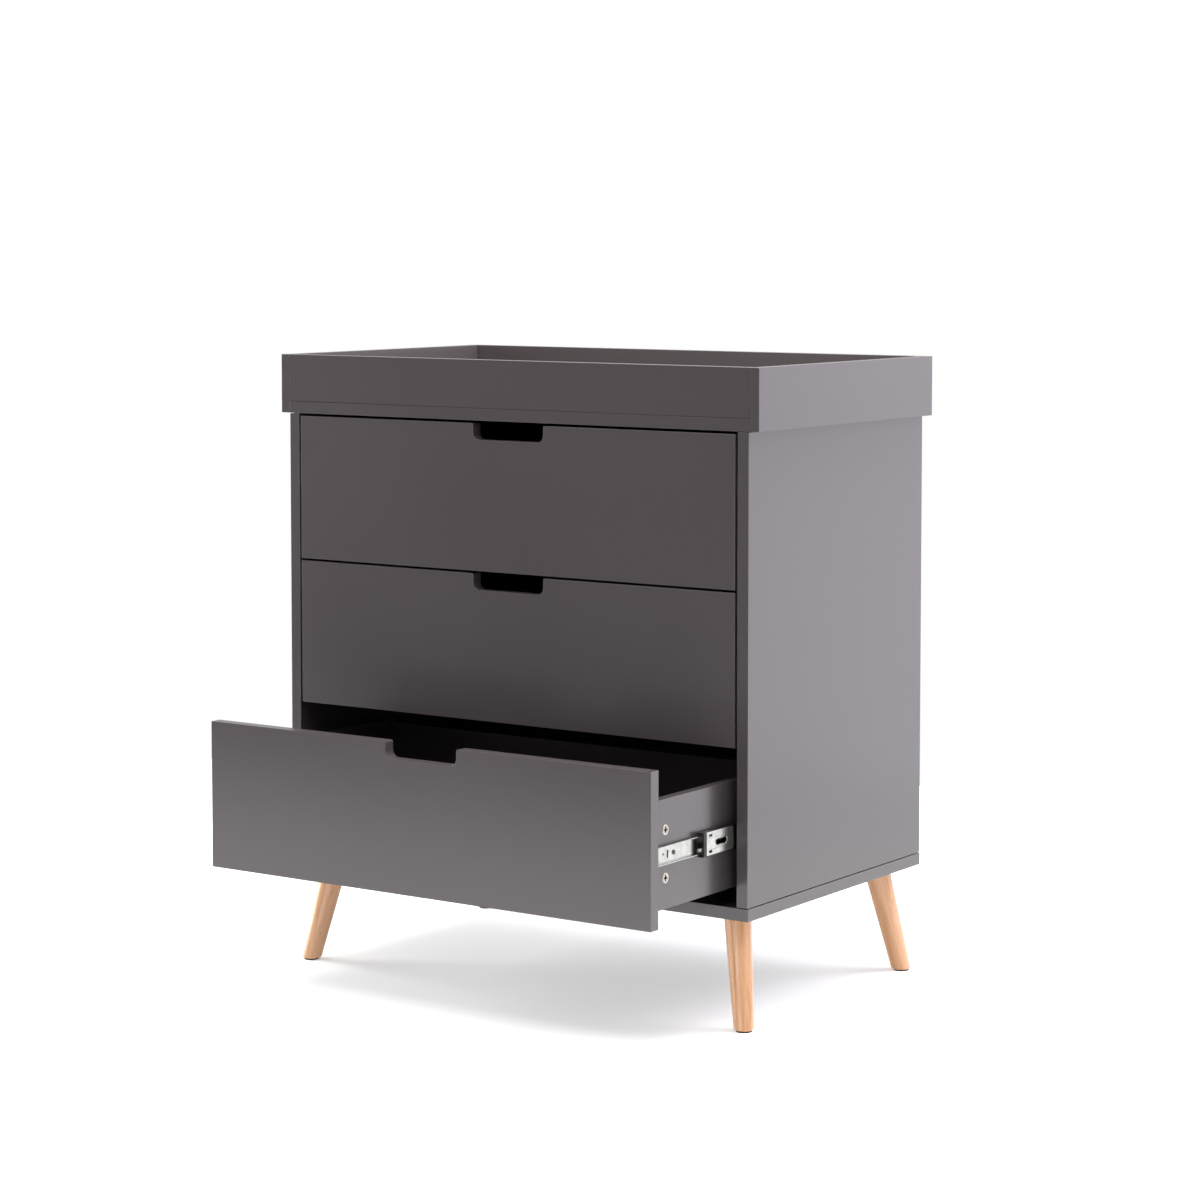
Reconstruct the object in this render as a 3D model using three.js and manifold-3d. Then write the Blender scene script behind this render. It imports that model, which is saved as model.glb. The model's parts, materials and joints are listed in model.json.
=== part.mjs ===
// A changing table: a chest of three inset drawers on four splayed turned legs, with a low tray on top.
// Millimetres, +Z up, drawer fronts towards -Y. The origin is on the floor, under the middle of the
// bounding box of the table as it is drawn here, with its bottom drawer part of the way out.
// Inside the script, y = 0 is the front plane of the carcass and z = 0 is the floor.

import * as THREE from 'three';
import { mergeVertices } from 'three/addons/utils/BufferGeometryUtils.js';
import Module from 'manifold-3d';

const wasm = await Module();
wasm.setup();

// ---- driving dimensions -------------------------------------------------------------------------

const carcass = { width: 800, depth: 480, board: 18, floorToBase: 155.5, sideHeight: 645, sideSetIn: 1 };
const backPanel = { thickness: 4, inset: 8, inGroove: 5 };
const tray = { board: 15, height: 87 };
const drawerFront = { thickness: 18, gap: 3.5, count: 3 };
const notch = { halfWidth: 61, depth: 23.5, topRadius: 3, cornerRadius: 10 };
const drawerBox = { halfWidth: 368, board: 15, height: 147, aboveFrontBase: 20.5, back: 400 };
const drawerBack = { board: 15, belowSides: 6 };
const drawerBase = { thickness: 4, height: 10, inGroove: 6 };
const camLock = { diameter: 15, depth: 12.5, behindFront: 31.5, above: 32 };
const camCross = { halfLength: 5.5, halfWidth: 1.1, depth: 3 };
const runner = { length: 350, frontEnd: 20, steel: 1.2 };
const cabinetMember = { height: 45, lip: 3.5, flange: 9.5 };
const middleMember = { height: 33, frontEnd: 31, length: 330, fromCabinet: 2.6, flange: 8 };
const drawerMember = { height: 25, flange: 6, behindFront: 0.5 };
const middleSlot = { fromEnd: 36, length: 27.5, height: 8 };
const bumper = { length: 7.5, wall: 2.5, fromCabinet: 1.7, tipFromDrawer: 1, aheadOfMember: 0.3 };
const leg = { topRadius: 19.3, footRadius: 13.7 };
const legTop = { fromSide: 47, fromFront: 49 };
const legFoot = { fromSide: 19, fromFront: 21 };
const legBolt = { diameter: 8, inLeg: 34, inPanel: 14 };
const footPad = { radius: 11, thickness: 1.5 };
const bottomDrawerOpen = 203;
const clearance = 0.3;

// ---- dimensions that follow from them -----------------------------------------------------------

const baseTop = carcass.floorToBase + carcass.board;
const topUnderside = baseTop + carcass.sideHeight;
const topUpper = topUnderside + carcass.board;
const trayTop = topUnderside + tray.height;
const sideOuter = carcass.width / 2 - carcass.sideSetIn;
const sideInner = sideOuter - carcass.board;
const gaps = drawerFront.count + 1;
const frontHeight = (carcass.sideHeight - gaps * drawerFront.gap) / drawerFront.count;
const frontHalfWidth = sideInner - drawerFront.gap;
const drawerPitch = frontHeight + drawerFront.gap;
const boxInner = drawerBox.halfWidth - drawerBox.board;
const runnerHeight = drawerBox.aboveFrontBase + drawerBox.height / 2;
const backPanelFront = carcass.depth - backPanel.inset - backPanel.thickness;
const originY = (carcass.depth - bottomDrawerOpen) / 2;

// ---- finishes -----------------------------------------------------------------------------------

function finish(color, roughness, metalness) {
    return new THREE.MeshStandardMaterial({ color, roughness, metalness });
}

const lacqueredBoard = () => finish(0x5d5859, 0.35, 0);
const turnedBeech = () => finish(0xd9ab82, 0.5, 0);
const zincPlatedSteel = () => finish(0xc9cbc8, 0.3, 1);
const blackPlastic = () => finish(0x17181a, 0.5, 0);
const darkRubber = () => finish(0x2b2624, 0.8, 0);

// ---- solids -------------------------------------------------------------------------------------

// A box from its lowest to its highest corner.
function box([x0, y0, z0], [x1, y1, z1]) {
    const geometry = new THREE.BoxGeometry(x1 - x0, y1 - y0, z1 - z0);
    return geometry.translate((x0 + x1) / 2, (y0 + y1) / 2, (z0 + z1) / 2);
}

// A box given for the right-hand side (+X), or its mirror image for side = -1.
function sidedBox(side, [xNear, y0, z0], [xFar, y1, z1]) {
    const [x0, x1] = side > 0 ? [xNear, xFar] : [-xFar, -xNear];
    return box([x0, y0, z0], [x1, y1, z1]);
}

// An outline in X and Z, extruded from the plane y0 to the plane y1.
function prism(shape, y0, y1, curveSegments = 4) {
    const geometry = new THREE.ExtrudeGeometry(shape, { depth: y1 - y0, bevelEnabled: false, curveSegments });
    return geometry.rotateX(Math.PI / 2).translate(0, y1, 0);
}

function toSolid(geometry) {
    const bare = geometry.clone();
    bare.deleteAttribute('normal');
    bare.deleteAttribute('uv');
    const merged = mergeVertices(bare, 1e-4);
    const vertProperties = new Float32Array(merged.attributes.position.array);
    const triVerts = new Uint32Array(merged.index.array);
    return new wasm.Manifold(new wasm.Mesh({ numProp: 3, vertProperties, triVerts }));
}

function toGeometry(solid) {
    const { vertProperties, triVerts } = solid.getMesh();
    const geometry = new THREE.BufferGeometry();
    geometry.setAttribute('position', new THREE.BufferAttribute(vertProperties, 3));
    geometry.setIndex(new THREE.BufferAttribute(triVerts, 1));
    geometry.computeVertexNormals();
    return geometry;
}

function cut(geometry, ...tools) {
    let solid = toSolid(geometry);
    for (const tool of tools) {
        solid = solid.subtract(toSolid(tool));
    }
    return toGeometry(solid);
}

function keepInside(geometry, space) {
    return toGeometry(toSolid(geometry).intersect(toSolid(space)));
}

// A cylinder from one point to another.
function rod(radius, from, to, segments = 20) {
    const along = new THREE.Vector3().subVectors(to, from);
    const geometry = new THREE.CylinderGeometry(radius, radius, along.length(), segments);
    return placeAlong(geometry.translate(0, along.length() / 2, 0), from, along);
}

// Turns a shape that stands on the origin along +Y so that it starts at a point and runs along a vector.
function placeAlong(geometry, start, along) {
    const up = new THREE.Vector3(0, 1, 0);
    const turn = new THREE.Quaternion().setFromUnitVectors(up, along.clone().normalize());
    return geometry.applyQuaternion(turn).translate(start.x, start.y, start.z);
}

function piece(group, name, geometry, material) {
    const mesh = new THREE.Mesh(geometry, material);
    mesh.name = name;
    group.add(mesh);
}

const sides = [['left', -1], ['right', 1]];
const ends = [['front', -1], ['back', 1]];

// ---- carcass ------------------------------------------------------------------------------------

// The slot that the edge of the back panel stands in, along the whole inside of the carcass.
function backPanelGroove() {
    const reach = backPanel.inGroove + clearance;
    const low = [-sideInner - reach, backPanelFront - clearance, baseTop - reach];
    const high = [sideInner + reach, carcass.depth - backPanel.inset + clearance, topUnderside + reach];
    return box(low, high);
}

function carcassPanels(group, boltBores) {
    const half = carcass.width / 2;
    const groove = backPanelGroove();
    const base = box([-half, 0, carcass.floorToBase], [half, carcass.depth, baseTop]);
    const top = box([-half, 0, topUnderside], [half, carcass.depth, topUpper]);
    piece(group, 'bottom_panel', cut(base, groove, ...boltBores), lacqueredBoard());
    piece(group, 'top_panel', cut(top, groove), lacqueredBoard());
    for (const [name, side] of sides) {
        const panel = sidedBox(side, [sideInner, 0, baseTop], [sideOuter, carcass.depth, topUnderside]);
        piece(group, `side_panel_${name}`, cut(panel, groove), lacqueredBoard());
    }
    const reach = sideInner + backPanel.inGroove;
    const rear = carcass.depth - backPanel.inset;
    const low = [-reach, backPanelFront, baseTop - backPanel.inGroove];
    piece(group, 'back_panel', box(low, [reach, rear, topUnderside + backPanel.inGroove]), lacqueredBoard());
}

// The tray's side boards overlap the edge of the top panel; its front and back boards stand on the panel.
function trayBoards(group) {
    const half = carcass.width / 2;
    for (const [name, side] of sides) {
        const board = sidedBox(side, [half, 0, topUnderside], [half + tray.board, carcass.depth, trayTop]);
        piece(group, `tray_side_${name}`, board, lacqueredBoard());
    }
    for (const [name, start] of [['front', 0], ['back', carcass.depth - tray.board]]) {
        const board = box([-half, start, topUpper], [half, start + tray.board, trayTop]);
        piece(group, `tray_${name}`, board, lacqueredBoard());
    }
}

// ---- legs ---------------------------------------------------------------------------------------

// One leg's axis, from the floor to the middle of its top at the underside of the carcass.
function legAxis(side, end) {
    const middle = carcass.depth / 2;
    const at = ({ fromSide, fromFront }, z) =>
        new THREE.Vector3(side * (carcass.width / 2 - fromSide), middle + end * (middle - fromFront), z);
    const foot = at(legFoot, 0);
    const top = at(legTop, carcass.floorToBase);
    return { foot, top, direction: new THREE.Vector3().subVectors(top, foot).normalize() };
}

// Half of the leg's section: a straight taper, overlong at both ends because the ends are cut level.
function legProfile(length) {
    const { topRadius, footRadius } = leg;
    const slope = (topRadius - footRadius) / length;
    const low = -footRadius;
    const high = length + topRadius;
    return [
        new THREE.Vector2(0, low),
        new THREE.Vector2(footRadius + slope * low, low),
        new THREE.Vector2(footRadius + slope * high, high),
        new THREE.Vector2(0, high),
    ];
}

function boltEnds({ foot, top, direction }) {
    const inLeg = top.clone().addScaledVector(direction, -legBolt.inLeg);
    const rise = (carcass.floorToBase + legBolt.inPanel) / direction.z;
    return [inLeg, foot.clone().addScaledVector(direction, rise)];
}

// The bolt's bore, a little wider and longer than the bolt at both ends.
function boltBore(axis) {
    const [inLeg, inPanel] = boltEnds(axis);
    const low = inLeg.addScaledVector(axis.direction, -clearance);
    const high = inPanel.addScaledVector(axis.direction, clearance);
    return rod(legBolt.diameter / 2 + clearance, low, high);
}

function legPieces(group, name, axis) {
    const turned = new THREE.LatheGeometry(legProfile(axis.foot.distanceTo(axis.top)), 28);
    const blank = placeAlong(turned, axis.foot, axis.direction);
    const reach = carcass.width;
    const lowEnd = footPad.thickness + clearance;
    const levelSpace = box([-reach, -reach, lowEnd], [reach, reach, carcass.floorToBase - clearance]);
    const bored = cut(keepInside(blank, levelSpace), boltBore(axis));
    piece(group, `leg_${name}`, bored, turnedBeech());

    const [inLeg, inPanel] = boltEnds(axis);
    piece(group, `leg_bolt_${name}`, rod(legBolt.diameter / 2, inLeg, inPanel, 16), zincPlatedSteel());

    // A thin round pad between the leg's level end and the floor.
    const padTop = axis.foot.clone().setZ(footPad.thickness);
    piece(group, `foot_pad_${name}`, rod(footPad.radius, axis.foot, padTop, 24), darkRubber());
}

// ---- drawers ------------------------------------------------------------------------------------
// Each drawer is drawn closed, with z = 0 at the bottom edge of its front, and its group is then moved.

function frontOutline() {
    const { halfWidth, depth, topRadius, cornerRadius } = notch;
    const floor = frontHeight - depth;
    const shape = new THREE.Shape();
    shape.moveTo(-frontHalfWidth, 0);
    shape.lineTo(frontHalfWidth, 0);
    shape.lineTo(frontHalfWidth, frontHeight);
    shape.lineTo(halfWidth + topRadius, frontHeight);
    shape.absarc(halfWidth + topRadius, frontHeight - topRadius, topRadius, Math.PI / 2, Math.PI, false);
    shape.absarc(halfWidth - cornerRadius, floor + cornerRadius, cornerRadius, 0, -Math.PI / 2, true);
    shape.absarc(cornerRadius - halfWidth, floor + cornerRadius, cornerRadius, -Math.PI / 2, -Math.PI, true);
    shape.absarc(-halfWidth - topRadius, frontHeight - topRadius, topRadius, 0, Math.PI / 2, false);
    shape.lineTo(-frontHalfWidth, frontHeight);
    return shape;
}

// The groove that holds the drawer's base, cut into the front and both sides in one go.
function baseGroove() {
    const reach = drawerBase.inGroove + clearance;
    const z = drawerBox.aboveFrontBase + drawerBase.height;
    const low = [-boxInner - reach, drawerFront.thickness - reach, z - clearance];
    return box(low, [boxInner + reach, drawerBox.back + clearance, z + drawerBase.thickness + clearance]);
}

function camCentres() {
    const y = drawerFront.thickness + camLock.behindFront;
    return [['upper', runnerHeight + camLock.above, y], ['lower', runnerHeight - camLock.above, y]];
}

function camCylinder(side, z, y, extra) {
    const outer = new THREE.Vector3(side * (drawerBox.halfWidth + extra), y, z);
    const inner = new THREE.Vector3(side * (drawerBox.halfWidth - camLock.depth - extra), y, z);
    return rod(camLock.diameter / 2 + extra, outer, inner);
}

function drawerBoards(group, name) {
    const { halfWidth, height, aboveFrontBase, back } = drawerBox;
    const front = prism(frontOutline(), 0, drawerFront.thickness);
    piece(group, `${name}_front`, cut(front, baseGroove()), lacqueredBoard());

    const low = aboveFrontBase;
    const high = low + height;
    for (const [sideName, side] of sides) {
        const blank = sidedBox(side, [boxInner, drawerFront.thickness, low], [halfWidth, back, high]);
        const camHoles = camCentres().map(([, z, y]) => camCylinder(side, z, y, clearance));
        piece(group, `${name}_side_${sideName}`, cut(blank, baseGroove(), ...camHoles), lacqueredBoard());
    }

    const baseUpper = low + drawerBase.height + drawerBase.thickness;
    const backLow = [-boxInner, back - drawerBack.board, baseUpper + clearance];
    const backBoard = box(backLow, [boxInner, back, high - drawerBack.belowSides]);
    piece(group, `${name}_back`, backBoard, lacqueredBoard());

    const reach = boxInner + drawerBase.inGroove;
    const baseFront = drawerFront.thickness - drawerBase.inGroove;
    const base = box([-reach, baseFront, low + drawerBase.height], [reach, back, baseUpper]);
    piece(group, `${name}_base`, base, lacqueredBoard());
}

function camLocks(group, name) {
    for (const [sideName, side] of sides) {
        for (const [level, z, y] of camCentres()) {
            const body = camCylinder(side, z, y, 0);
            const { halfLength, halfWidth, depth } = camCross;
            const [floor, outside] = [drawerBox.halfWidth - depth, drawerBox.halfWidth + 1];
            const arms = [[halfLength, halfWidth], [halfWidth, halfLength]].map(([dy, dz]) =>
                sidedBox(side, [floor, y - dy, z - dz], [outside, y + dy, z + dz]));
            piece(group, `${name}_cam_lock_${sideName}_${level}`, cut(body, ...arms), zincPlatedSteel());
        }
    }
}

// ---- runners ------------------------------------------------------------------------------------
// A telescopic ball-bearing runner: three steel channels, one inside the next.

// A channel's section: a web at x = webX, and flanges that reach towards x = tipX, each ending in an
// optional inward lip.
function channel(side, webX, tipX, height, { wall = runner.steel, lip = 0 } = {}) {
    const inward = Math.sign(tipX - webX);
    const t = wall;
    const upper = height / 2;
    const outline = [[webX, upper], [tipX, upper]];
    if (lip > 0) {
        outline.push([tipX, upper - lip], [tipX - inward * t, upper - lip], [tipX - inward * t, upper - t]);
    } else {
        outline.push([tipX, upper - t]);
    }
    outline.push([webX + inward * t, upper - t]);
    const lower = outline.map(([x, z]) => [x, -z]).reverse();
    const points = [...outline, ...lower].map(([x, z]) => new THREE.Vector2(side * x, z + runnerHeight));
    return new THREE.Shape(points);
}

const middleWeb = sideInner - middleMember.fromCabinet;

function cabinetMembers(group, name) {
    for (const [sideName, side] of sides) {
        const { height, lip, flange } = cabinetMember;
        const shape = channel(side, sideInner, sideInner - flange, height, { lip });
        const geometry = prism(shape, runner.frontEnd, runner.frontEnd + runner.length);
        piece(group, `${name}_runner_${sideName}_cabinet`, geometry, zincPlatedSteel());
    }
}

function middleMembers(group, name) {
    const { frontEnd, length, height, flange } = middleMember;
    for (const [sideName, side] of sides) {
        const shape = channel(side, middleWeb, middleWeb - flange, height);
        const rail = prism(shape, frontEnd, frontEnd + length);
        const slot = slotCutter(side, frontEnd + middleSlot.fromEnd);
        piece(group, `${name}_runner_${sideName}_middle`, cut(rail, slot), zincPlatedSteel());
    }
}

// A long slot with round ends through the web of a middle member.
function slotCutter(side, y) {
    const radius = middleSlot.height / 2;
    const half = middleSlot.length / 2 - radius;
    const shape = new THREE.Shape();
    shape.absarc(half, 0, radius, -Math.PI / 2, Math.PI / 2, false);
    shape.absarc(-half, 0, radius, Math.PI / 2, 3 * Math.PI / 2, false);
    const depth = 4 * runner.steel;
    const geometry = new THREE.ExtrudeGeometry(shape, { depth, bevelEnabled: false, curveSegments: 6 });
    const start = side * (middleWeb - runner.steel / 2) - depth / 2;
    return geometry.rotateX(Math.PI / 2).rotateZ(Math.PI / 2).translate(start, y, runnerHeight);
}

function drawerMembers(group, name) {
    const start = drawerFront.thickness + drawerMember.behindFront;
    for (const [sideName, side] of sides) {
        const { height, flange } = drawerMember;
        const shape = channel(side, drawerBox.halfWidth, drawerBox.halfWidth + flange, height);
        const geometry = prism(shape, start, start + runner.length);
        piece(group, `${name}_runner_${sideName}_drawer`, geometry, zincPlatedSteel());
    }
}

// The plastic clip at the front of each middle member. The drawer member slides through it.
function bumpers(group, name) {
    const end = middleMember.frontEnd - bumper.aheadOfMember;
    for (const [sideName, side] of sides) {
        const outer = sideInner - bumper.fromCabinet;
        const inner = drawerBox.halfWidth + bumper.tipFromDrawer;
        const shape = channel(side, outer, inner, middleMember.height, { wall: bumper.wall });
        const geometry = prism(shape, end - bumper.length, end);
        piece(group, `${name}_runner_${sideName}_bumper`, geometry, blackPlastic());
    }
}

// ---- assembly -----------------------------------------------------------------------------------

const changingTable = new THREE.Group();
changingTable.position.y = -originY;

const fixedPieces = new THREE.Group();
changingTable.add(fixedPieces);

const bores = [];
for (const [endName, end] of ends) {
    for (const [sideName, side] of sides) {
        const axis = legAxis(side, end);
        bores.push(boltBore(axis));
        legPieces(fixedPieces, `${endName}_${sideName}`, axis);
    }
}
carcassPanels(fixedPieces, bores);
trayBoards(fixedPieces);

['bottom', 'middle', 'top'].forEach((level, index) => {
    const name = `drawer_${level}`;
    const open = level === 'bottom' ? bottomDrawerOpen : 0;
    const z = baseTop + drawerFront.gap + index * drawerPitch;
    const [fixed, halfWay, moving] = [0, open / 2, open].map((out) => {
        const group = new THREE.Group();
        group.position.set(0, -out, z);
        changingTable.add(group);
        return group;
    });
    cabinetMembers(fixed, name);
    middleMembers(halfWay, name);
    drawerMembers(moving, name);
    drawerBoards(moving, name);
    if (open > 0) {
        camLocks(moving, name);
        bumpers(halfWay, name);
    }
});

export default changingTable;
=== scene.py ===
# A changing table: lacquered fibreboard chest with three drawers, a tray on top and turned beech legs.
# Metres, +Z up, drawer fronts towards -Y, as the CAD frame has it.
import json
import math
import bpy
import numpy as np
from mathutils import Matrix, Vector


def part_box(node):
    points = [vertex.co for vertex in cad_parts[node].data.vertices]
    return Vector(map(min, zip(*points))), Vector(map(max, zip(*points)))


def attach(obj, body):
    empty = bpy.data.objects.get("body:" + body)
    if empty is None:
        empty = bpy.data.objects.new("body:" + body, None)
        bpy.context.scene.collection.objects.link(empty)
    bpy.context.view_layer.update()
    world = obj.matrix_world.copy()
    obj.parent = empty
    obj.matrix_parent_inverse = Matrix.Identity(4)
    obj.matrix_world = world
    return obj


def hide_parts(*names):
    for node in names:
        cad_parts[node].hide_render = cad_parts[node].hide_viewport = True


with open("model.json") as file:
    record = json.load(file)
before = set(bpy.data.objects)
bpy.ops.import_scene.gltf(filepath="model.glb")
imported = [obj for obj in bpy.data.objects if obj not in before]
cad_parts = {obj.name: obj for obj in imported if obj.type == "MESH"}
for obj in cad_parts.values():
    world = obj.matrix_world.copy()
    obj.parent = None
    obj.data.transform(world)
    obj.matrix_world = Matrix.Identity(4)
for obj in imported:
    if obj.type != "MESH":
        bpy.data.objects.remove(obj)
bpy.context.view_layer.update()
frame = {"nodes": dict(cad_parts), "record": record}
mm = 0.001
sides = {"left": -1, "right": 1}
levels = ["bottom", "middle", "top"]
print("frame loaded:", len(frame["nodes"]), "CAD nodes")



def newPiece(name, points, faces, body, material, stands=(), cornerNormals=None):
    # puts a finished mesh at the origin, gives it its finish and lets it ride on its body
    mesh = bpy.data.meshes.new(name)
    mesh.from_pydata(np.asarray(points, float).tolist(), [], faces)
    mesh.polygons.foreach_set("use_smooth", np.ones(len(mesh.polygons), bool))
    if cornerNormals is not None:
        mesh.normals_split_custom_set(np.concatenate(cornerNormals).tolist())
    mesh.materials.append(material)
    piece = bpy.data.objects.new(name, mesh)
    bpy.context.scene.collection.objects.link(piece)
    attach(piece, body)
    if stands:
        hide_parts(*stands)
    if cornerNormals is None:
        shadeFlats(piece)
    return piece


def shadeFlats(piece):
    # keeps flat faces flat and lets the small faces along their edges turn the light
    piece.data.set_sharp_from_angle(angle=math.radians(40))
    modifier = piece.modifiers.new("shading", "WEIGHTED_NORMAL")
    modifier.weight = 100
    modifier.keep_sharp = True


def ringFaces(rings, count):
    # The faces round a stack of rings of points: the quads between each ring and the next, then a cap at
    # the first ring and one at the last.
    ring = np.arange(count)
    following = np.roll(ring, -1)
    first = (np.arange(rings - 1) * count)[:, None]
    quads = np.stack([first + ring, first + following,
                      first + count + following, first + count + ring], axis=2).reshape(-1, 4)
    return [*quads, ring[::-1], (rings - 1) * count + ring]


def rectangle(low, high, radius):
    # the corners of a rectangle in the order and form that filletedOutline takes
    return [(low[0], low[1], radius), (high[0], low[1], radius),
            (high[0], high[1], radius), (low[0], high[1], radius)]


def filletedOutline(corners, steps=4):
    # A closed counter-clockwise outline with each corner (a, b, radius) turned by an arc.
    # The arc starts and ends on the two straights, so every point has an exact outward normal.
    places = np.array([c[:2] for c in corners], float)
    radii = np.array([c[2] for c in corners], float)
    ahead = np.roll(places, -1, axis=0) - places
    ahead /= np.linalg.norm(ahead, axis=1)[:, None]
    before = np.roll(ahead, 1, axis=0)
    turn = np.arctan2(before[:, 0] * ahead[:, 1] - before[:, 1] * ahead[:, 0], (before * ahead).sum(1))
    bend = np.sign(turn)
    outward = np.stack([before[:, 1], -before[:, 0]], axis=1)
    start = places - before * (radii * np.abs(np.tan(turn / 2)))[:, None]
    angle = turn[:, None] * np.linspace(0, 1, steps + 1)[None, :]
    cos, sin = np.cos(angle), np.sin(angle)
    normals = np.stack([outward[:, :1] * cos - outward[:, 1:] * sin,
                        outward[:, :1] * sin + outward[:, 1:] * cos], axis=2)
    centre = start - outward * (bend * radii)[:, None]
    points = centre[:, None, :] + (bend * radii)[:, None, None] * normals
    return points.reshape(-1, 2), normals.reshape(-1, 2)


def slabShape(outline, normals, span, arris, order, arrisSteps=3):
    # An outline carried from span[0] to span[1], drawn in by a quarter circle of radius arris at both
    # faces: at the angle t the ring lies arris*(1 - sin t) inside the outline and arris*(1 - cos t) in
    # from the face. order says which axes the outline's two coordinates and the span lie on. Besides the
    # points and faces it returns each face corner's normal, and how far each point is on an edge, 0 to 1.
    t = np.linspace(0, math.pi / 2, arrisSteps + 1)
    inset = arris * (1 - np.sin(t))
    depth = arris * (1 - np.cos(t))
    insets = np.concatenate([inset, inset[::-1]])
    depths = np.concatenate([span[0] + depth, span[1] - depth[::-1]])
    across = np.concatenate([np.sin(t), np.sin(t)[::-1]])
    along = np.concatenate([-np.cos(t), np.cos(t)[::-1]])
    rings, count = len(insets), len(outline)
    flat = outline[None] - insets[:, None, None] * normals[None]
    local = np.concatenate([flat, np.broadcast_to(depths[:, None, None], (rings, count, 1))], axis=2)
    facing = np.concatenate([across[:, None, None] * normals[None],
                             np.broadcast_to(along[:, None, None], (rings, count, 1))], axis=2)
    points, directions = np.empty_like(local), np.empty_like(facing)
    points[..., order], directions[..., order] = local, facing
    points, directions = points.reshape(-1, 3), directions.reshape(-1, 3)
    isTurned = order in ([0, 2, 1], [2, 1, 0], [1, 0, 2])  # a left-handed order turns the faces inside out
    faces = [face[::-1] if isTurned else face for face in ringFaces(rings, count)]
    cornerNormals = [directions[face] for face in faces]
    edge = np.repeat(np.sin(2 * np.concatenate([t, t[::-1]])), count)
    return points, [face.tolist() for face in faces], cornerNormals, edge


def addNumbers(piece, name, values, kind="FLOAT"):
    # an attribute on the points that a material can read
    attribute = piece.data.attributes.new(name, kind, "POINT")
    key = "value" if kind == "FLOAT" else "vector"
    attribute.data.foreach_set(key, np.asarray(values, np.float32).ravel())


def cutOut(piece, tools):
    # takes the shapes of the cutters out of a piece, then removes the cutters
    for tool in tools:
        modifier = piece.modifiers.new("cut", "BOOLEAN")
        modifier.object = tool
        modifier.solver = "EXACT"
    shape = piece.evaluated_get(bpy.context.evaluated_depsgraph_get())
    piece.data = bpy.data.meshes.new_from_object(shape)
    piece.modifiers.clear()
    if "custom_normal" in piece.data.attributes:
        piece.data.attributes.remove(piece.data.attributes["custom_normal"])
    shadeFlats(piece)
    for tool in tools:
        bpy.data.objects.remove(tool)
    return piece


def cutter(points, faces):
    mesh = bpy.data.meshes.new("cutter")
    mesh.from_pydata(np.asarray(points, float).tolist(), [], faces)
    tool = bpy.data.objects.new("cutter", mesh)
    bpy.context.scene.collection.objects.link(tool)
    return tool


def boxCutter(low, high):
    # a cutter that fills the box between two opposite corners
    low, high = np.array(low, float), np.array(high, float)
    low, high = np.minimum(low, high), np.maximum(low, high)
    corners = np.array([[0, 0, 0], [1, 0, 0], [1, 1, 0], [0, 1, 0],
                        [0, 0, 1], [1, 0, 1], [1, 1, 1], [0, 1, 1]])
    faces = [[0, 3, 2, 1], [4, 5, 6, 7], [0, 1, 5, 4], [1, 2, 6, 5], [2, 3, 7, 6], [3, 0, 4, 7]]
    return cutter(low + corners * (high - low), faces)


def crossCutters(place, side, halfLength, halfWidth, bottom, top):
    # two crossed boxes that cut a cross recess in a face that looks along x
    tools = []
    for dy, dz in ((halfLength, halfWidth), (halfWidth, halfLength)):
        low = place + Vector((side * bottom, -dy, -dz))
        high = place + Vector((side * top, dy, dz))
        tools.append(boxCutter(low, high))
    return tools



def colour(hexCode):
    # an sRGB hex value as linear light, opaque
    channels = np.array([int(hexCode[i:i + 2], 16) for i in (1, 3, 5)]) / 255
    linear = np.where(channels <= 0.04045, channels / 12.92, ((channels + 0.055) / 1.055) ** 2.4)
    return (*linear.tolist(), 1.0)


def addNode(tree, kind, links=None, values=None, **settings):
    # one node with its settings, its socket values and what is linked into it
    node = tree.nodes.new(kind)
    for key, value in settings.items():
        setattr(node, key, value)
    for key, value in (values or {}).items():
        node.inputs[key].default_value = value
    for key, source in (links or {}).items():
        tree.links.new(source, node.inputs[key])
    return node


def newMaterial(name):
    material = bpy.data.materials.new(name)
    material.use_nodes = True
    tree = material.node_tree
    tree.nodes.clear()
    shader = addNode(tree, "ShaderNodeBsdfPrincipled")
    addNode(tree, "ShaderNodeOutputMaterial", {"Surface": shader.outputs["BSDF"]})
    return material, tree, shader


def noise(tree, place, scale, detail=0.0, distortion=0.0):
    node = addNode(tree, "ShaderNodeTexNoise", {"Vector": place},
                   {"Scale": scale, "Detail": detail, "Distortion": distortion})
    return node.outputs["Fac"]


def setGloss(tree, shader, factor, roughness, span=(0.0, 1.0)):
    # roughness runs from its first value to its second as the factor crosses the span
    gloss = addNode(tree, "ShaderNodeMapRange", {"Value": factor},
                    {"From Min": span[0], "From Max": span[1],
                     "To Min": roughness[0], "To Max": roughness[1]})
    tree.links.new(gloss.outputs["Result"], shader.inputs["Roughness"])


def setBump(tree, shader, height, strength, distance):
    bump = addNode(tree, "ShaderNodeBump", {"Height": height}, {"Strength": strength, "Distance": distance})
    tree.links.new(bump.outputs["Normal"], shader.inputs["Normal"])


def mixColour(tree, factor, base, over):
    # the colour of one socket, and over it a hex colour where the factor rises to 1
    mixed = addNode(tree, "ShaderNodeMix", {"Factor": factor}, data_type="RGBA")
    tree.links.new(base, mixed.inputs["A"])
    mixed.inputs["B"].default_value = colour(over)
    return mixed.outputs["Result"]


def ramp(tree, factor, stops):
    # a colour ramp through (position, hex) stops
    node = addNode(tree, "ShaderNodeValToRGB", {"Fac": factor})
    elements = node.color_ramp.elements
    while len(elements) < len(stops):
        elements.new(0.5)
    for element, (position, hexCode) in zip(elements, stops):
        element.position = position
        element.color = colour(hexCode)
    return node.outputs["Color"]



# the lightest of the three colours is a painted highlight for the sanded edges
lacquerLook = dict(pale="#3d3839", deep="#393435", edgeHighlight="#464142", roughness=(0.22, 0.25),
                   mottle=0.25, ripple=5 * mm, rippleHeight=0.004 * mm)


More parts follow.
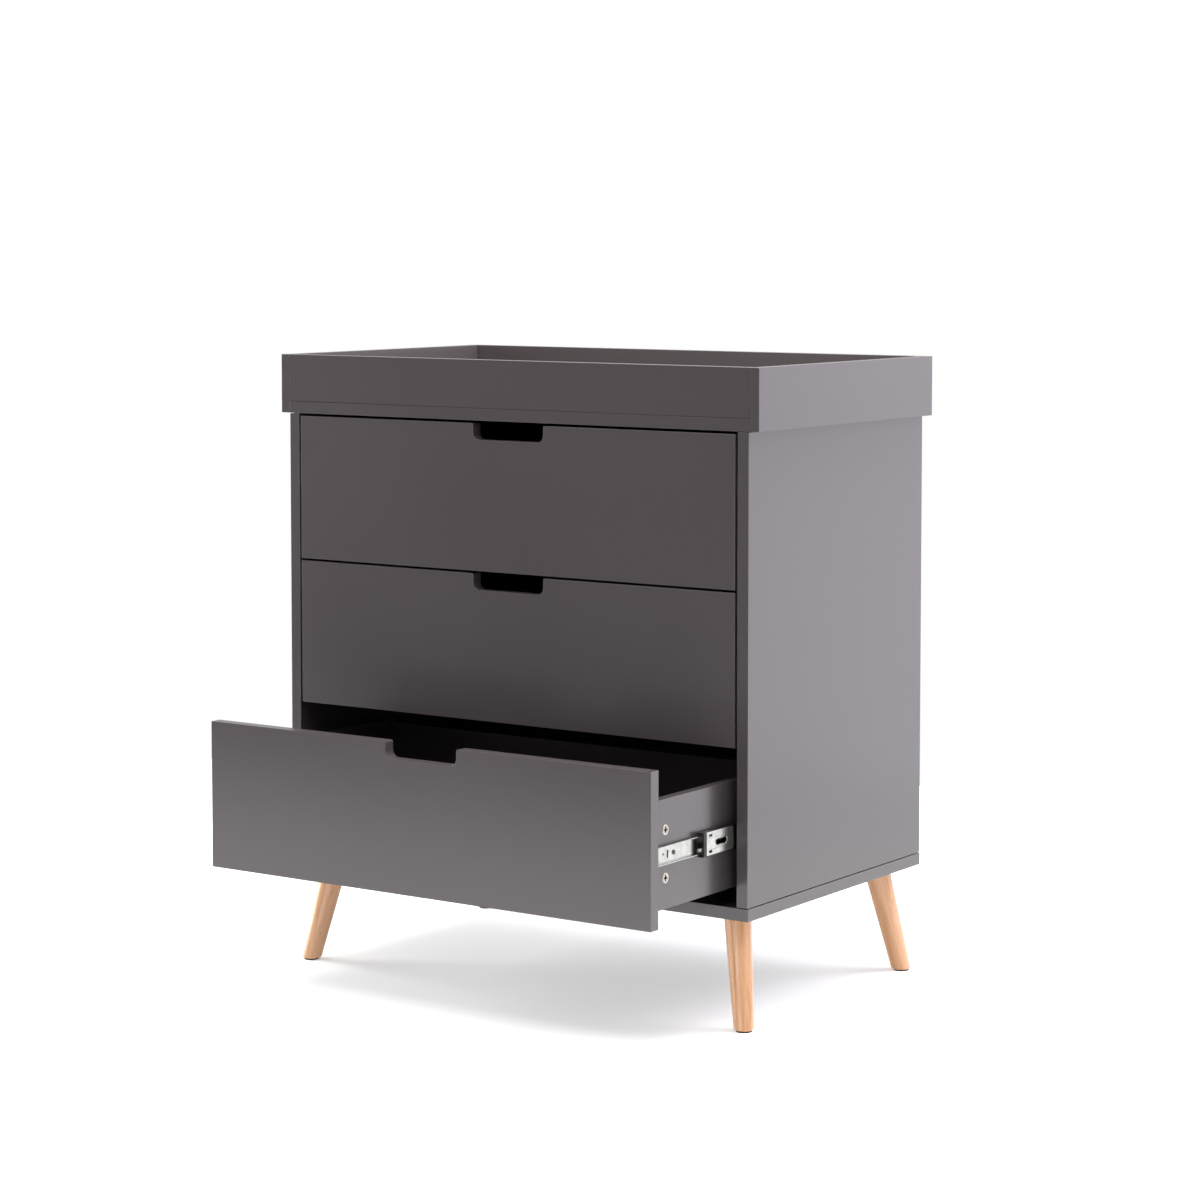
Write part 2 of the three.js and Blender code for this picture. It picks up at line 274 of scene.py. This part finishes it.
def satinLacquer():
    # Two-part satin lacquer, sprayed on fibreboard: an even warm grey that reflects softly, with the
    # faint ripple of sprayed paint. Real ripple is about 2 mm wide and is drawn 5 mm wide here to show.
    # The sanded edges are painted a touch lighter: a painted highlight along the edges.
    look = lacquerLook
    material, tree, shader = newMaterial("satinLacquerOnFibreboard")
    place = addNode(tree, "ShaderNodeTexCoord").outputs["Object"]
    mottle = noise(tree, place, 1 / look["mottle"])
    body = ramp(tree, mottle, [(0.0, look["deep"]), (1.0, look["pale"])])
    edge = addNode(tree, "ShaderNodeAttribute", attribute_name="arris").outputs["Fac"]
    # painted highlight: the colour lightens along the sanded edges, as far as the arris attribute reaches
    tree.links.new(mixColour(tree, edge, body, look["edgeHighlight"]), shader.inputs["Base Color"])
    setGloss(tree, shader, mottle, look["roughness"])
    shader.inputs["IOR"].default_value = 1.5
    setBump(tree, shader, noise(tree, place, 1 / look["ripple"]), 1.0, look["rippleHeight"])
    return material


beechLook = dict(lines=[(0.28, "#a3744f"), (0.45, "#b2855f"), (0.56, "#bc906e"), (0.74, "#c59d7d")],
                 lineSpacing=7 * mm, lineStretch=0.06, lineHeight=0.1 * mm, waviness=0.6, fleck="#996845",
                 fleckLength=4 * mm, fleckWidth=0.8 * mm, fleckSpan=(0.62, 0.72), fleckStrength=0.45,
                 roughness=(0.33, 0.24))


def turnedBeech():
    # Beech, turned and clear lacquered: pinkish tan, with soft darker growth lines along the leg and the
    # short dark flecks that mark beech. Flecks are 0.3 mm wide in the wood and are drawn 0.8 mm wide.
    look = beechLook
    material, tree, shader = newMaterial("turnedBeechClearLacquer")
    grain = addNode(tree, "ShaderNodeAttribute", attribute_name="grain").outputs["Vector"]
    linePlace = addNode(tree, "ShaderNodeMapping", {"Vector": grain},
                        {"Scale": (1.0, 1.0, look["lineStretch"])})
    lines = noise(tree, linePlace.outputs["Vector"], 1 / look["lineSpacing"], 4.0, look["waviness"])
    fleckPlace = addNode(tree, "ShaderNodeMapping", {"Vector": grain},
                         {"Scale": (1.0, 1.0, look["fleckWidth"] / look["fleckLength"])})
    flecks = noise(tree, fleckPlace.outputs["Vector"], 1 / look["fleckWidth"], 1.0)
    isFleck = addNode(tree, "ShaderNodeMapRange", {"Value": flecks},
                      {"From Min": look["fleckSpan"][0], "From Max": look["fleckSpan"][1],
                       "To Min": 0.0, "To Max": look["fleckStrength"]}).outputs["Result"]
    tint = mixColour(tree, isFleck, ramp(tree, lines, look["lines"]), look["fleck"])
    tree.links.new(tint, shader.inputs["Base Color"])
    setGloss(tree, shader, lines, look["roughness"], (0.3, 0.7))
    shader.inputs["IOR"].default_value = 1.5
    setBump(tree, shader, lines, 0.25, look["lineHeight"])
    return material


metalLook = dict(cloudScale=90.0, lineSpacing=0.8 * mm, lineStretch=0.02, lineHeight=0.02 * mm)


def bareMetal(name, pale, dull, roughness):
    # Zinc plating or die-cast zinc: a pale, slightly warm metal, a little cloudy, with fine rolling lines
    # along the strip. The lines are 0.3 mm apart on the metal and are drawn 0.8 mm apart.
    look = metalLook
    material, tree, shader = newMaterial(name)
    place = addNode(tree, "ShaderNodeTexCoord").outputs["Object"]
    cloud = noise(tree, place, look["cloudScale"], 3.0)
    tree.links.new(ramp(tree, cloud, [(0.35, dull), (0.65, pale)]), shader.inputs["Base Color"])
    shader.inputs["Metallic"].default_value = 1.0
    setGloss(tree, shader, cloud, roughness, (0.3, 0.7))
    linePlace = addNode(tree, "ShaderNodeMapping", {"Vector": place},
                        {"Scale": (1.0, look["lineStretch"], 1.0)})
    lines = noise(tree, linePlace.outputs["Vector"], 1 / look["lineSpacing"])
    setBump(tree, shader, lines, 0.3, look["lineHeight"])
    return material


def mouldedPlastic(name, pale, deep, roughness, grainSize):
    # Moulded plastic or rubber: one dark colour with a fine spark-eroded grain.
    material, tree, shader = newMaterial(name)
    place = addNode(tree, "ShaderNodeTexCoord").outputs["Object"]
    grain = noise(tree, place, 1 / grainSize, 2.0)
    tree.links.new(ramp(tree, grain, [(0.3, deep), (0.7, pale)]), shader.inputs["Base Color"])
    setGloss(tree, shader, grain, roughness)
    shader.inputs["Specular IOR Level"].default_value = 0.2
    setBump(tree, shader, grain, 0.4, 0.05 * mm)
    return material


lacquer = satinLacquer()
beech = turnedBeech()
zinc = bareMetal("zincPlatedSteel", "#9fa09b", "#92938f", roughness=(0.27, 0.18))
camZinc = bareMetal("dieCastZinc", "#a8a199", "#989188", roughness=(0.46, 0.34))
# the screw heads' steel is painted darker than the rails': painted shade that makes them read as dark marks
# on the runner
screwSteelPaintedDark = bareMetal("zincPlatedScrewPaintedDark", "#62635f", "#535451", roughness=(0.42, 0.3))
blackPlastic = mouldedPlastic("mouldedBlackAcetal", "#1d1e21", "#101113", (0.35, 0.5), grainSize=1.2 * mm)
footRubber = mouldedPlastic("mouldedFootRubber", "#37302c", "#2a2421", (0.7, 0.85), grainSize=1.5 * mm)
print("materials made")



boardShape = dict(arris=0.35 * mm, corner=0.6 * mm, seam=0.4 * mm, seamDepth=2.5 * mm)


def board(node, body, thin, outlineCorners=None, reachDown=0.0):
    # A board in its CAD node's place, with sanded edges. thin is the axis of its thickness. A plain one is
    # a fraction of a millimetre small all round, so that a fine dark seam shows where two boards meet.
    # reachDown carries its lower edge further down, into the board that it stands on.
    low, high = (np.array(corner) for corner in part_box(node))
    if not outlineCorners:
        low, high = low + boardShape["seam"], high - boardShape["seam"]
    low[2] -= reachDown
    order = {0: [1, 2, 0], 1: [0, 2, 1], 2: [0, 1, 2]}[thin]
    corners = outlineCorners or rectangle(low[order[:2]], high[order[:2]], boardShape["corner"])
    outline, normals = filletedOutline(corners)
    span = (low[thin], high[thin])
    points, faces, cornerNormals, edge = slabShape(outline, normals, span, boardShape["arris"], order)
    piece = newPiece(f"{node}_board", points, faces, body, lacquer, [node], cornerNormals)
    addNumbers(piece, "arris", edge)
    return piece


def cutGroove(pieces, node, clearance=0.3 * mm):
    # the groove that a thin panel's edge stands in, in each board that meets it
    low, high = (np.array(corner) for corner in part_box(node))
    for piece in pieces:
        cutOut(piece, [boxCutter(low - clearance, high + clearance)])


def trayBoard(node, way):
    # It stands on the top panel, so its seam is a shallow slot that lets no light through from inside.
    # way is the direction along y in which its outer face looks.
    seam, depth = boardShape["seam"], boardShape["seamDepth"]
    piece = board(node, "carcass", 1, reachDown=2 * seam)
    low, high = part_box(node)
    face = low.y if way < 0 else high.y
    slotLow = (low.x - depth, face - way * depth, low.z - depth)
    slotHigh = (high.x + depth, face + way * depth, low.z + seam)
    return cutOut(piece, [boxCutter(slotLow, slotHigh)])


panels = {"side_panel_left": 0, "side_panel_right": 0, "top_panel": 2, "bottom_panel": 2, "back_panel": 1,
          "tray_side_left": 0, "tray_side_right": 0}
boards = {node: board(node, "carcass", thin) for node, thin in panels.items()}
for node, way in (("tray_front", -1), ("tray_back", 1)):
    boards[node] = trayBoard(node, way)
aroundBack = ("side_panel_left", "side_panel_right", "top_panel", "bottom_panel")
cutGroove([boards[node] for node in aroundBack], "back_panel")
print("carcass and tray boards made")



notchCut = dict(halfWidth=61 * mm, depth=23.5 * mm, topRadius=3 * mm, cornerRadius=10 * mm)


def drawerFrontBoard(node, body):
    # The front's outline, with the finger notch in the middle of its top edge.
    low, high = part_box(node)
    r, cut = boardShape["corner"], notchCut
    half, floor = cut["halfWidth"], high.z - cut["depth"]
    corners = [(low.x, low.z, r), (high.x, low.z, r), (high.x, high.z, r),
               (half, high.z, cut["topRadius"]), (half, floor, cut["cornerRadius"]),
               (-half, floor, cut["cornerRadius"]), (-half, high.z, cut["topRadius"]), (low.x, high.z, r)]
    return board(node, body, 1, corners)


cam = dict(radius=7.5 * mm, depth=12.5 * mm, gap=0.15 * mm, behindFront=31.5 * mm, above=32 * mm,
           proud=0.1 * mm, rim=0.6 * mm, dish=0.3 * mm, dishStart=1.32 * mm, dishEnd=1.92 * mm,
           crossLength=4.1 * mm, crossWidth=1.3 * mm, crossDepth=6 * mm, segments=48)
past = 2 * mm  # how far cutters stand out of the face they cut


def turnedShape(profile, centre, axis, segments):
    # A profile of (radius, height) turned about an axis: the ring at height h lies at centre + h*axis.
    profile = np.array(profile, float)
    axis = Vector(axis).normalized()
    u = axis.orthogonal().normalized()
    v = axis.cross(u)
    angle = np.linspace(0, 2 * math.pi, segments, endpoint=False)
    around = np.cos(angle)[:, None] * np.array(u) + np.sin(angle)[:, None] * np.array(v)
    points = (np.array(centre) + profile[:, 1][:, None, None] * np.array(axis)
              + profile[:, 0][:, None, None] * around[None])
    faces = [face.tolist() for face in ringFaces(len(profile), segments)]
    return points.reshape(-1, 3), faces


def camPlaces(level):
    # where the cam locks sit: two in each side board, above and below the runner's line
    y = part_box(f"drawer_{level}_front")[1].y + cam["behindFront"]
    for sideName, side in sides.items():
        low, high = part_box(f"drawer_{level}_side_{sideName}")
        middle = (low.z + high.z) / 2
        x = high.x if side > 0 else low.x
        for height, up in (("upper", 1), ("lower", -1)):
            yield sideName, side, height, Vector((x, y, middle + up * cam["above"]))


def camLock(name, side, place, body, stands):
    # A die-cast cam: a shallow dished face with a rounded rim and a cross recess.
    r, rim, proud, dished = cam["radius"] - cam["gap"], cam["rim"], cam["proud"], cam["proud"] - cam["dish"]
    t = np.linspace(0, math.pi / 2, 4)
    profile = [(r, -cam["depth"])] + list(zip(r - rim + rim * np.cos(t), proud - rim + rim * np.sin(t)))
    profile += [(r - cam["dishStart"], proud), (r - cam["dishEnd"], dished), (r / 2, dished)]
    points, faces = turnedShape(profile, place, (side, 0, 0), cam["segments"])
    piece = newPiece(name, points, faces, body, camZinc, stands)
    return cutOut(piece, crossCutters(place, side, cam["crossLength"], cam["crossWidth"],
                                      -cam["crossDepth"], past))


for level in levels:
    body = f"drawer_{level}"
    aroundBase = [drawerFrontBoard(f"drawer_{level}_front", body)]
    board(f"drawer_{level}_back", body, 1)
    board(f"drawer_{level}_base", body, 2)
    bores = {"left": [], "right": []}
    for sideName, side, height, place in camPlaces(level):
        profile = [(cam["radius"], -cam["depth"]), (cam["radius"], past)]
        bores[sideName].append(cutter(*turnedShape(profile, place, (side, 0, 0), cam["segments"])))
        node = f"drawer_{level}_cam_lock_{sideName}_{height}"
        stands = [node] if node in frame["nodes"] else []
        camLock(f"{node}_casting", side, place, body, stands)
    for sideName in sides:
        aroundBase.append(cutOut(board(f"drawer_{level}_side_{sideName}", body, 0), bores[sideName]))
    cutGroove(aroundBase, f"drawer_{level}_base")
print("drawers made")



steel = dict(thickness=1.2 * mm, bend=1.6 * mm, tip=0.4 * mm, tightest=0.2 * mm, crease=0.3 * mm,
             lip=3.5 * mm, arris=0.2 * mm)
middleMember = dict(slotFromEnd=36 * mm, slotLength=27.5 * mm, slotHeight=8 * mm, holeFromEnd=10.5 * mm,
                    holeAbove=10.8 * mm, holeLength=8.5 * mm, holeHeight=3.4 * mm,
                    ridge=(7.6 * mm, 0.35 * mm), borderGap=1.3 * mm, beadRadius=0.75 * mm,
                    beadProud=0.35 * mm, beadSides=10)
drawerMember = dict(pinFromEnd=23 * mm, pinAbove=1 * mm, pinSize=3 * mm, slotFromEnd=33.5 * mm,
                    slotWidth=3.4 * mm, slotHeight=11 * mm, screwsFromEnd=(48 * mm, 164.5 * mm, 322 * mm))
screwShape = dict(radius=3.4 * mm, root=0.5 * mm, edge=0.3 * mm, rise=1.5 * mm, slope=0.8,
                  crossLength=1.6 * mm, crossWidth=0.4 * mm, crossFloor=0.4 * mm, crossTop=4 * mm,
                  segments=24)
clip = dict(length=7.5 * mm, wall=2.5 * mm, gap=0.3 * mm, outside=0.9 * mm, inside=1.4 * mm)
roundEnd = 0.999 / 2  # of a slot's height: a half circle, less a trace so that its sides keep a length


def channelCorners(side, webX, tipX, height, wall, centreZ, lip=0.0, ridge=None):
    # The outline of a rolled channel's section: web, two flanges towards tipX, optional lips that turn
    # inwards, and an optional raised band of half-height ridge[0] and height ridge[1] along the web.
    way = np.sign(tipX - webX)
    outer, inner, tip = steel["bend"], max(steel["bend"] - wall, steel["tightest"]), steel["tip"]
    top = height / 2
    upper = [(webX, top, outer), (tipX, top, outer if lip else tip)]
    if lip:
        upper += [(tipX, top - lip, tip), (tipX - way * wall, top - lip, tip),
                  (tipX - way * wall, top - wall, inner)]
    else:
        upper += [(tipX, top - wall, tip)]
    upper += [(webX + way * wall, top - wall, inner)]
    outside = []
    if ridge:
        half, rise = ridge
        crease = steel["crease"]
        upper += [(webX + way * wall, half + rise, crease), (webX + way * (wall - rise), half, crease)]
        outside = [(webX, half + rise, crease), (webX - way * rise, half, crease)]
    lower = [(x, -z, r) for x, z, r in reversed(upper)]
    webFace = [(x, -z, r) for x, z, r in outside] + outside[::-1]
    corners = [(side * x, z + centreZ, r) for x, z, r in upper + lower + webFace]
    area = sum(p[0] * q[1] - q[0] * p[1] for p, q in zip(corners, corners[1:] + corners[:1]))
    return corners if area > 0 else corners[::-1]


def channelPiece(node, name, body, corners, span, material, tools=(), stands=None):
    outline, normals = filletedOutline(corners)
    points, faces, _, _ = slabShape(outline, normals, span, steel["arris"], [0, 2, 1], 1)
    piece = newPiece(name, points, faces, body, material, [node] if stands is None else stands)
    return cutOut(piece, tools) if tools else piece


def slotTool(y, z, x, length, height, reach=3 * mm):
    # a cutter through the web of a rail for a slot or hole with round ends
    a, b = length / 2, height / 2
    corners = rectangle((y - a, z - b), (y + a, z + b), min(length, height) * roundEnd)
    outline, normals = filletedOutline(corners, 6)
    points, faces, _, _ = slabShape(outline, normals, (x - reach, x + reach), 0.05 * mm, [1, 2, 0], 1)
    return cutter(points, faces)


def screw(name, place, side, body):
    # A small pan-head screw that fixes a rail: a low dome with a cross recess.
    s = screwShape
    t = np.linspace(0, math.pi / 2, 6) * s["slope"]
    dome = zip(s["radius"] * np.cos(t), s["edge"] + s["rise"] * np.sin(t))
    profile = [(s["radius"], -s["root"]), *dome]
    points, faces = turnedShape(profile, place, (side, 0, 0), s["segments"])
    piece = newPiece(name, points, faces, body, screwSteelPaintedDark)
    return cutOut(piece, crossCutters(place, side, s["crossLength"], s["crossWidth"], s["crossFloor"],
                                      s["crossTop"]))


def slotBorder(name, side, x, y, z, body):
    # The pressed border round the long slot: a low half-round bead along the slot's edge. At the angle t
    # the bead's section lies bead*cos(t) along the outline's normal and bead*sin(t) out of the web.
    m = middleMember
    b = m["slotHeight"] / 2 + m["borderGap"]
    a = (m["slotLength"] - m["slotHeight"]) / 2 + b
    outline, normals = filletedOutline(rectangle((y - a, z - b), (y + a, z + b), 2 * b * roundEnd), 8)
    t = np.linspace(0, 2 * math.pi, m["beadSides"], endpoint=False)
    bead, ringCount, beadCount = m["beadRadius"], len(outline), len(t)
    across = outline[:, None, :] + bead * np.cos(t)[None, :, None] * normals[:, None, :]
    up = np.broadcast_to(x + side * bead * np.sin(t)[None, :, None], (ringCount, beadCount, 1))
    points = np.concatenate([up, across], axis=2).reshape(-1, 3)
    i, j = np.meshgrid(np.arange(ringCount), np.arange(beadCount), indexing="ij")
    here, ahead = i * beadCount, (i + 1) % ringCount * beadCount
    nextJ = (j + 1) % beadCount
    quads = np.stack([here + j, ahead + j, ahead + nextJ, here + nextJ], axis=2).reshape(-1, 4)
    if side < 0:
        quads = quads[:, ::-1]
    return newPiece(name, points, quads.tolist(), body, zinc)


def memberPlace(node):
    # a runner member's ends along y, its height and middle height, and its distances from the table's middle
    low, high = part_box(node)
    nearX, farX = sorted((abs(low.x), abs(high.x)))
    return low.y, high.y, high.z - low.z, (low.z + high.z) / 2, nearX, farX


def cabinetRail(prefix, side):
    # fixed to the side panel, open towards the drawer
    start, end, height, z, nearX, farX = memberPlace(f"{prefix}_cabinet")
    corners = channelCorners(side, farX, nearX, height, steel["thickness"], z, lip=steel["lip"])
    channelPiece(f"{prefix}_cabinet", f"{prefix}_cabinet_rail", "carcass", corners, (start, end), zinc)
    return z


def middleRail(prefix, side, z, body):
    # moves at half the drawer's speed, and carries the plastic clip at its front end
    m = middleMember
    start, end, height, _, nearX, farX = memberPlace(f"{prefix}_middle")
    corners = channelCorners(side, farX, nearX, height, steel["thickness"], z, ridge=m["ridge"])
    tools = [slotTool(start + m["slotFromEnd"], z, side * farX, m["slotLength"], m["slotHeight"])]
    for up in (-1, 1):
        tools.append(slotTool(start + m["holeFromEnd"], z + up * m["holeAbove"], side * farX,
                              m["holeLength"], m["holeHeight"]))
    channelPiece(f"{prefix}_middle", f"{prefix}_middle_rail", body, corners, (start, end), zinc,
                 tools)
    beadX = side * (farX + m["ridge"][1] + m["beadProud"] - m["beadRadius"])
    slotBorder(f"{prefix}_slot_border", side, beadX, start + m["slotFromEnd"], z, body)
    node = f"{prefix}_bumper"
    corners = channelCorners(side, farX + clip["outside"], nearX - clip["inside"], height, clip["wall"], z)
    clipEnd = start - clip["gap"]
    channelPiece(node, f"{prefix}_clip", body, corners, (clipEnd - clip["length"], clipEnd), blackPlastic,
                 stands=[node] if node in frame["nodes"] else [])


def drawerRail(prefix, side, z, body):
    # screwed to the drawer's side
    d = drawerMember
    start, end, height, _, nearX, farX = memberPlace(f"{prefix}_drawer")
    corners = channelCorners(side, nearX, farX, height, steel["thickness"], z)
    tools = [slotTool(start + d["pinFromEnd"], z + d["pinAbove"], side * nearX, d["pinSize"], d["pinSize"]),
             slotTool(start + d["slotFromEnd"], z, side * nearX, d["slotWidth"], d["slotHeight"])]
    channelPiece(f"{prefix}_drawer", f"{prefix}_drawer_rail", body, corners, (start, end), zinc,
                 tools)
    for number, distance in enumerate(d["screwsFromEnd"]):
        place = Vector((side * (nearX + steel["thickness"]), start + distance, z))
        screw(f"{prefix}_screw_{number}", place, side, body)


for level in levels:
    for sideName, side in sides.items():
        prefix = f"drawer_{level}_runner_{sideName}"
        z = cabinetRail(prefix, side)
        middleRail(prefix, side, z, f"runners_{level}")
        drawerRail(prefix, side, z, f"drawer_{level}")
print("runners made")



legShape = dict(topRadius=19.3 * mm, footRadius=13.7 * mm, footEdge=3.5 * mm, topEdge=2.2 * mm,
                topInset=(47 * mm, 49 * mm), footInset=(19 * mm, 21 * mm), segments=72, rings=26,
                gap=0.3 * mm, billetSpacing=0.11)


def turnedLeg(node, side, end):
    # A straight taper on a leaning axis, cut level at both ends: a point of the axis at the height z lies
    # at foot + z*lean, and the section there is the level ellipse that the round leg makes, r(z) along the
    # spokes and r(z)*stretch where they run with the lean. Both rims are rounded: inset and height follow
    # a quarter circle of the edge's radius.
    s = legShape
    low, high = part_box("bottom_panel")
    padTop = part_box(node.replace("leg_", "foot_pad_"))[1].z
    edgeX, edgeY = side * high.x, (high.y if end > 0 else low.y)
    foot = np.array([edgeX - side * s["footInset"][0], edgeY - end * s["footInset"][1], 0])
    top = np.array([edgeX - side * s["topInset"][0], edgeY - end * s["topInset"][1], low.z])
    lean = (top - foot) / low.z
    sideways = np.array([lean[0], lean[1], 0]) / np.hypot(lean[0], lean[1])
    across = np.array([-sideways[1], sideways[0], 0])
    stretch = np.linalg.norm(lean)
    angle = np.linspace(0, 2 * math.pi, s["segments"], endpoint=False)
    spokes = np.cos(angle)[:, None] * stretch * sideways + np.sin(angle)[:, None] * across
    t = np.linspace(0, math.pi / 2, 7)[:-1]
    start, finish = padTop + s["gap"], low.z - s["gap"]
    straight = np.linspace(start + s["footEdge"], finish - s["topEdge"], s["rings"])
    heights = np.concatenate([start + s["footEdge"] * (1 - np.cos(t)), straight,
                              finish - s["topEdge"] * (1 - np.cos(t[::-1]))])
    radii = s["footRadius"] + (s["topRadius"] - s["footRadius"]) * heights / low.z
    radii[:len(t)] -= s["footEdge"] * (1 - np.sin(t))
    radii[-len(t):] -= s["topEdge"] * (1 - np.sin(t[::-1]))
    points = foot + heights[:, None, None] * lean + radii[:, None, None] * spokes[None]
    faces = [face.tolist() for face in ringFaces(len(heights), s["segments"])]
    piece = newPiece(node.replace("leg_", "leg_turning_"), points.reshape(-1, 3), faces, "carcass",
                     beech, [node])
    billet = s["billetSpacing"] * (2 * side + end)  # each leg is cut from its own place in the wood
    grain = np.stack([radii[:, None] * np.cos(angle) + billet, radii[:, None] * np.sin(angle) - billet,
                      np.repeat(heights[:, None], s["segments"], axis=1) + billet], axis=2)
    addNumbers(piece, "grain", grain.reshape(-1, 3), "FLOAT_VECTOR")


for endName, end in (("front", -1), ("back", 1)):
    for sideName, side in sides.items():
        turnedLeg(f"leg_{endName}_{sideName}", side, end)
print("legs made")

# CAD nodes that stay as they are get their finish here
finishes = {"lacquered_board": lacquer, "beech": beech, "zinc_steel": zinc, "cam_zinc": camZinc,
            "black_plastic": blackPlastic, "foot_rubber": footRubber}
slotOf = {part["node"]: part["material_slot"] for part in frame["record"]["subparts"]}
for node, piece in frame["nodes"].items():
    piece.data.materials.clear()
    piece.data.materials.append(finishes[slotOf[node]])



studio = dict(floorSize=3.4, floorColour="#e8e8e8", floorGlow=0.35, sky=0.7, dark=0.2,
              brightWay=(0.566, 0.824, 0.0), brightFrom=0.2)
lights = {
    "sideBank": dict(place=(2.3, 2.5, 0.85), target=(0, 0, 0.6), size=(2.4, 2.4), power=43, tint="#f6f4ff"),
    "sideKey": dict(place=(2.1, 1.6, 2.5), target=(0, 0, 0.6), size=(1.8, 1.8), power=68, tint="#f6f4ff"),
    "topBank": dict(place=(-0.1, -0.8, 3.2), target=(0, 0.1, 0), size=(3.4, 3.0), power=155),
    "leftFill": dict(place=(-2.9, -0.5, 0.75), target=(0, 0, 0.2), size=(1.6, 1.5), power=105),
    "frontFill": dict(place=(0.3, -3.0, 0.4), target=(0, 0, 0.3), size=(1.4, 0.8), power=25),
    "trayFill": dict(place=(0.5, 0.02, 1.75), target=(-0.15, 0.4, 0.85), size=(0.4, 0.3), power=38),
}
view = dict(place=(2.6207, -3.7154, 1.0851), yaw=34.542, pitch=3.846, lens=94.646, sensor=36, shift=-0.13,
            clipEnd=60)


def whiteFloor():
    # A white studio floor, lit so brightly that only the shade under the table shows on it.
    size = studio["floorSize"] / 2
    mesh = bpy.data.meshes.new("floor")
    corners = [(-size, -size, 0), (size, -size, 0), (size, size, 0), (-size, size, 0)]
    mesh.from_pydata(corners, [], [[0, 1, 2, 3]])
    material, tree, shader = newMaterial("whiteStudioFloor")
    shader.inputs["Base Color"].default_value = colour(studio["floorColour"])
    shader.inputs["Roughness"].default_value = 0.9
    shader.inputs["Specular IOR Level"].default_value = 0.0
    shader.inputs["Emission Color"].default_value = (1, 1, 1, 1)
    shader.inputs["Emission Strength"].default_value = studio["floorGlow"]
    mesh.materials.append(material)
    floor = bpy.data.objects.new("floor", mesh)
    bpy.context.scene.collection.objects.link(floor)


def areaLight(name, place, target, size, power, tint="#ffffff"):
    data = bpy.data.lights.new(name, "AREA")
    data.shape = "RECTANGLE"
    data.size, data.size_y = size
    data.energy = power
    data.color = colour(tint)[:3]
    light = bpy.data.objects.new(name, data)
    light.location = place
    light.rotation_euler = (Vector(target) - Vector(place)).to_track_quat("-Z", "Y").to_euler()
    bpy.context.scene.collection.objects.link(light)


def studioSky():
    # White behind the table. What the table itself sees is a grey room: as bright as the sky value towards
    # the back right, dark towards the front left.
    world = bpy.data.worlds.new("studio")
    bpy.context.scene.world = world
    world.use_nodes = True
    tree = world.node_tree
    tree.nodes.clear()
    way = addNode(tree, "ShaderNodeTexCoord").outputs["Generated"]
    towards = addNode(tree, "ShaderNodeVectorMath", operation="DOT_PRODUCT")
    tree.links.new(way, towards.inputs[0])
    towards.inputs[1].default_value = studio["brightWay"]
    room = addNode(tree, "ShaderNodeMapRange", {"Value": towards.outputs["Value"]},
                   {"From Min": -1.0, "From Max": studio["brightFrom"],
                    "To Min": studio["dark"], "To Max": studio["sky"]})
    seen = addNode(tree, "ShaderNodeLightPath").outputs["Is Camera Ray"]
    strength = addNode(tree, "ShaderNodeMath", {0: room.outputs["Result"], 1: seen}, operation="MAXIMUM")
    background = addNode(tree, "ShaderNodeBackground", {"Strength": strength.outputs["Value"]},
                         {"Color": (1, 1, 1, 1)})
    addNode(tree, "ShaderNodeOutputWorld", {"Surface": background.outputs["Background"]})


def camera():
    # a long lens, a little above the tray, looking down slightly
    data = bpy.data.cameras.new("camera")
    data.lens = view["lens"]
    data.sensor_width = view["sensor"]
    data.shift_y = view["shift"]
    data.clip_end = view["clipEnd"]
    seen = bpy.data.objects.new("camera", data)
    seen.location = view["place"]
    seen.rotation_euler = (math.radians(90 - view["pitch"]), 0, math.radians(view["yaw"]))
    bpy.context.scene.collection.objects.link(seen)
    bpy.context.scene.camera = seen


whiteFloor()
studioSky()
for name, settings in lights.items():
    areaLight(name, **settings)
camera()
bpy.context.scene.view_settings.view_transform = "Standard"
print("studio made")
